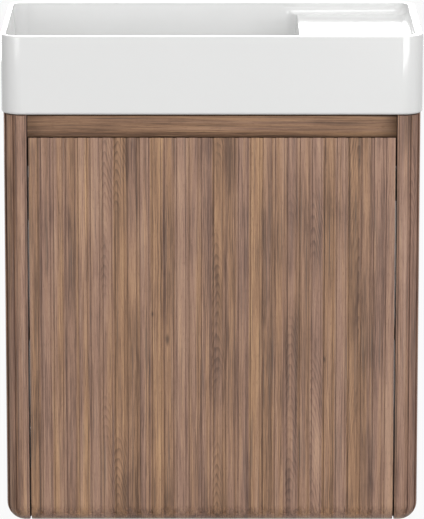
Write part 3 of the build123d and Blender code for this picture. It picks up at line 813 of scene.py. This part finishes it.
HARDWARE: Dict[str, Finish] = {
    "bright_chrome": Metal((0.80, 0.81, 0.82), (0.76, 0.77, 0.79), roughness=0.07, spread=0.04,
                           relief=0.004, pits=even(2.0), clouds=even(20.0, 3.0)),
    "cast_zinc": Metal((0.50, 0.50, 0.51), (0.42, 0.42, 0.43), roughness=0.42, spread=0.18,
                       relief=0.05, pits=even(0.7), clouds=even(5.0, 3.0)),
    "zinc_plated_steel": Metal((0.62, 0.64, 0.67), (0.58, 0.58, 0.55), roughness=0.28, spread=0.16,
                               relief=0.015, pits=even(0.5), clouds=even(4.0, 3.0)),
    "magnet": Metal((0.16, 0.16, 0.17), (0.11, 0.11, 0.12), roughness=0.5, spread=0.2,
                    relief=0.03, pits=even(0.3), clouds=even(3.0, 3.0)),
    "moulded_plastic": Moulding((0.66, 0.66, 0.64), roughness=0.42),
    "nut_plastic": Moulding((0.60, 0.60, 0.58), roughness=0.38),
    "black_rubber": Moulding((0.030, 0.030, 0.031), roughness=0.62, relief=0.05, dust=0.1,
                             texture=even(0.5, 1.0)),
    "soft_bumper": ClearBead((0.70, 0.70, 0.68), roughness=0.3),
    "beech_dowel": Walnut(grain=Grain.LEVEL, light=(0.66, 0.48, 0.31), middle=(0.56, 0.39, 0.24),
                          dark=(0.42, 0.27, 0.15), streak=(0.45, 0.30, 0.18), ring_spacing=3.0),
}


@dataclass(frozen=True)
class Easing:
    """A small rounding for sharp edges, in millimetres and degrees."""

    width: float = 0.4
    segments: int = 2
    sharper_than: float = 32.0
    weld: float = 0.002

    def apply(self, node: bpy.types.Object) -> None:
        """Add the rounding to a node.

        Args:
            node: The node's object.
        """
        join = node.modifiers.new("join", "WELD")
        join.merge_threshold = self.weld * MM
        ease = node.modifiers.new("ease", "BEVEL")
        ease.width = self.width * MM
        ease.segments = self.segments
        ease.limit_method = "ANGLE"
        ease.angle_limit = math.radians(self.sharper_than)
        ease.harden_normals = True
        ease.use_clamp_overlap = True


@dataclass
class SubAssembly:
    """Pieces of the unit that belong together."""

    starts: Tuple[str, ...] = ()
    eased: Tuple[str, ...] = ()
    easing: Easing = Easing()

    def pieces(self) -> List[str]:
        """Name the pieces, in order."""
        return [name for name in sorted(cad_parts) if name.startswith(self.starts)]

    def finishes(self) -> Dict[str, Finish]:
        """Give the finishes by slot: the hardware's, unless a sub-assembly has its own."""
        return HARDWARE

    def build(self) -> None:
        """Shape the meshes: the sharp edges of the eased pieces are rounded."""
        for name in self.eased:
            self.easing.apply(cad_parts[name])
            log.info("%s has its edges eased by %.1f mm", name, self.easing.width)

    def dress(self, made: Dict[str, bpy.types.Material]) -> None:
        """Give each piece the finish that its slot names.

        Args:
            made: The materials made so far, by slot, to which new ones are added.
        """
        finishes = self.finishes()
        for name in self.pieces():
            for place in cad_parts[name].material_slots:
                slot = place.material.name.split(".")[0]
                if slot not in made:
                    made[slot] = finishes[slot].material(slot + "_finish")
                place.material = made[slot]
                log.info("%s wears %s", name, slot)


@dataclass
class Basin(SubAssembly):
    """The ceramic basin and the bead that seats it."""

    starts: Tuple[str, ...] = ("basin",)
    eased: Tuple[str, ...] = ("basin",)
    easing: Easing = Easing(width=0.9, segments=3, sharper_than=45.0)
    foot: float = 75.0

    def finishes(self) -> Dict[str, Finish]:
        """Glaze the basin and make its bead of silicone, coloured near-black as painted shade for the gap
        under the basin.
        """
        return {
            "glazed_basin": Glaze(foot=self.foot),
            # Painted shade: the bead's near-black colour stands for the shadow in the gap between basin and
            # cabinet.
            "clear_silicone": ClearBead((0.035, 0.026, 0.020), roughness=0.6),
        }


@dataclass
class Cabinet(SubAssembly):
    """The boards of the cabinet: side panels, rail, bottom, rear rails and shelf."""

    starts: Tuple[str, ...] = ("left_side", "right_side", "finger", "bottom", "rear", "shelf")
    eased: Tuple[str, ...] = ("left_side_panel", "right_side_panel", "finger_pull_rail")
    form: Form = Form()
    # Painted shade: the rail is darkened at these heights, near the door's top and just under the basin.
    rail_foot_shade: Span = (47.2, 44.6)
    rail_head_shade: Span = (68.1, 68.6)
    # Painted light: the rail's walnut is made lighter to make up for the shade under the basin's overhang.
    rail_painted_light_gain: float = 1.14
    knots: Tuple[Knot, ...] = (
        Knot(across=-48.0, along=-171.0, half_width=2.4, half_length=8.5),
        Knot(across=-64.0, along=-143.0, half_width=1.5, half_length=4.0),
        Knot(across=121.0, along=-193.0, half_width=1.6, half_length=5.0),
    )

    def finishes(self) -> Dict[str, Finish]:
        """Give walnut, fluted outside, with level grain on the rail and the boards."""
        return {
            **HARDWARE,
            "fluted_walnut": Walnut(lathing=Lathing.FLUTED, form=self.form, knots=self.knots),
            "rail_walnut": Walnut(grain=Grain.LEVEL, painted_light_gain=self.rail_painted_light_gain,
                                  shaded_heights=(self.rail_foot_shade, self.rail_head_shade)),
            "carcass_walnut": Walnut(grain=Grain.LEVEL),
        }


@dataclass
class Door(Cabinet):
    """The door, whose flutes and finish go on from those of the cabinet, and its bumpers."""

    starts: Tuple[str, ...] = ("door",)
    eased: Tuple[str, ...] = ("door",)


@dataclass
class Hinges(SubAssembly):
    """The two pivot hinges at the left post."""

    starts: Tuple[str, ...] = ("upper_", "lower_")


@dataclass
class Catch(SubAssembly):
    """The magnetic catch, with its strike on the door."""

    starts: Tuple[str, ...] = ("catch",)


@dataclass
class Waste(SubAssembly):
    """The push-open waste in the bowl's floor."""

    starts: Tuple[str, ...] = ("waste",)


@dataclass
class Hangers(SubAssembly):
    """The adjustable hangers in the upper rear corners and their wall plates."""

    starts: Tuple[str, ...] = ("left_hanger", "right_hanger", "left_wall", "right_wall")


@dataclass
class Fixings(SubAssembly):
    """The cams, bolts and dowels that join the boards."""

    starts: Tuple[str, ...] = ("cam", "dowel")


@dataclass(frozen=True)
class Lamp:
    """One soft box, in metres and watts."""

    name: str
    place: Point
    width: float
    height: float
    power: float

    def hang(self, aim: Point) -> None:
        """Hang the lamp and turn it to its aim.

        Args:
            aim: The point that the lamp faces.
        """
        data = bpy.data.lights.new(self.name, "AREA")
        data.shape = "RECTANGLE"
        data.size = self.width
        data.size_y = self.height
        data.energy = self.power
        lamp = bpy.data.objects.new(self.name, data)
        lamp.location = self.place
        lamp.rotation_euler = (Vector(aim) - Vector(self.place)).to_track_quat("-Z", "Y").to_euler()
        bpy.context.scene.collection.objects.link(lamp)
        log.info("hung %s", self.name)


@dataclass
class Studio:
    """The camera, the lamps, the pale surroundings and the floor, in metres."""

    camera_place: Point = (0.0, -4.862, 0.929)
    tilt_down: float = 12.329
    lens: float = 306.4
    sensor: float = 36.0
    view_length: float = 100.0
    lamp_aim: Point = (0.0, -0.15, -0.1)
    lamps: Tuple[Lamp, ...] = (
        Lamp("key_lamp", (1.5, -3.8, 0.35), width=2.4, height=1.8, power=64.0),
        Lamp("fill_lamp", (-1.8, -3.6, 0.5), width=1.8, height=1.8, power=23.0),
        Lamp("top_lamp", (0.3, -1.2, 3.0), width=1.6, height=1.6, power=34.0),
        Lamp("rear_lamp", (-0.6, 3.6, 0.35), width=2.4, height=1.8, power=55.0),
    )
    ambient_front: float = 0.56
    ambient_back: float = 0.52
    ambient_turn: Span = (-0.6, 0.4)
    floor_drop: float = 0.30
    floor_size: float = 30.0
    floor_glow: float = 0.95
    floor_tone: Colour = (0.17, 0.168, 0.165)
    white: Colour = (1.0, 1.0, 1.0)

    def hang_camera(self) -> None:
        """Put the camera where the photograph was taken from."""
        data = bpy.data.cameras.new("photo_camera")
        data.sensor_fit = "VERTICAL"
        data.sensor_height = self.sensor
        data.lens = self.lens
        data.clip_end = self.view_length
        camera = bpy.data.objects.new("photo_camera", data)
        camera.location = self.camera_place
        camera.rotation_euler = (math.radians(90.0 - self.tilt_down), 0.0, 0.0)
        bpy.context.scene.collection.objects.link(camera)
        bpy.context.scene.camera = camera

    def seen_directly(self, bench: Bench) -> Signal:
        """Find the rays from the camera, in mirrors and through glass.

        Args:
            bench: The tree to add it to.

        Returns:
            1 for such a ray and 0 for any other.
        """
        path = bench.raw("ShaderNodeLightPath")
        names = ("Is Camera Ray", "Is Glossy Ray", "Is Transmission Ray")
        camera, glossy, through = (Signal(bench, path.outputs[name]) for name in names)
        return camera.math("MAXIMUM", glossy).math("MAXIMUM", through)

    def light_world(self) -> None:
        """Surround the object with soft white light, which the camera sees as white."""
        world = bpy.data.worlds.new("pale_surround")
        bpy.context.scene.world = world
        world.use_nodes = True
        bench = Bench(world.node_tree)
        _, turned, _ = bench.parts(bench.node("ShaderNodeTexCoord", out="Generated"))
        level = bench.node("ShaderNodeMapRange", None, {
            "Value": turned,
            "From Min": self.ambient_turn[0],
            "From Max": self.ambient_turn[1],
            "To Min": self.ambient_front,
            "To Max": self.ambient_back,
        })
        lit = bench.node("ShaderNodeBackground", None, {"Color": self.white, "Strength": level})
        seen = bench.node("ShaderNodeBackground", None, {"Color": self.white, "Strength": 1.0})
        chosen = bench.node("ShaderNodeMixShader", None, {"Fac": self.seen_directly(bench), 1: lit, 2: seen})
        bench.end("ShaderNodeOutputWorld", chosen)

    def floor_material(self) -> bpy.types.Material:
        """Make the floor's pale finish, which keeps the object's shadow.

        Returns:
            The material.
        """
        material = bpy.data.materials.new("pale_floor")
        material.use_nodes = True
        bench = Bench(material.node_tree)
        matt = bench.node("ShaderNodeBsdfDiffuse", None, {"Color": self.floor_tone})
        glow = bench.node("ShaderNodeEmission", None, {"Color": self.white, "Strength": 1.0})
        share = self.seen_directly(bench) * self.floor_glow
        chosen = bench.node("ShaderNodeMixShader", None, {"Fac": share, 1: matt, 2: glow})
        bench.end("ShaderNodeOutputMaterial", chosen)
        return material

    def lay_floor(self) -> None:
        """Lay the floor below the cabinet."""
        level = cad_box[0][2] - self.floor_drop
        half = self.floor_size / 2
        mesh = bpy.data.meshes.new("floor")
        corners = [(-half, -half, level), (half, -half, level), (half, half, level), (-half, half, level)]
        mesh.from_pydata(corners, [], [(0, 1, 2, 3)])
        mesh.materials.append(self.floor_material())
        floor = bpy.data.objects.new("floor", mesh)
        bpy.context.scene.collection.objects.link(floor)

    def build(self) -> None:
        """Set up everything around the object."""
        bpy.context.scene.view_settings.view_transform = "Standard"
        self.hang_camera()
        for lamp in self.lamps:
            lamp.hang(self.lamp_aim)
        self.light_world()
        self.lay_floor()


def main() -> None:
    """Build and dress the sub-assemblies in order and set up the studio."""
    logging.basicConfig(level=logging.INFO, format="%(name)s: %(message)s")
    made: Dict[str, bpy.types.Material] = {}
    groups = (Basin(), Cabinet(), Door(), Hinges(), Catch(), Waste(), Hangers(), Fixings())
    for group in groups:
        group.build()
        group.dress(made)
        log.info("%s has %d pieces", type(group).__name__, len(group.pieces()))
    counted = sum(len(group.pieces()) for group in groups)
    if counted != len(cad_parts):
        raise ValueError(f"{counted} pieces dressed, {len(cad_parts)} in the frame")
    Studio().build()


if __name__ == "__main__":
    main()
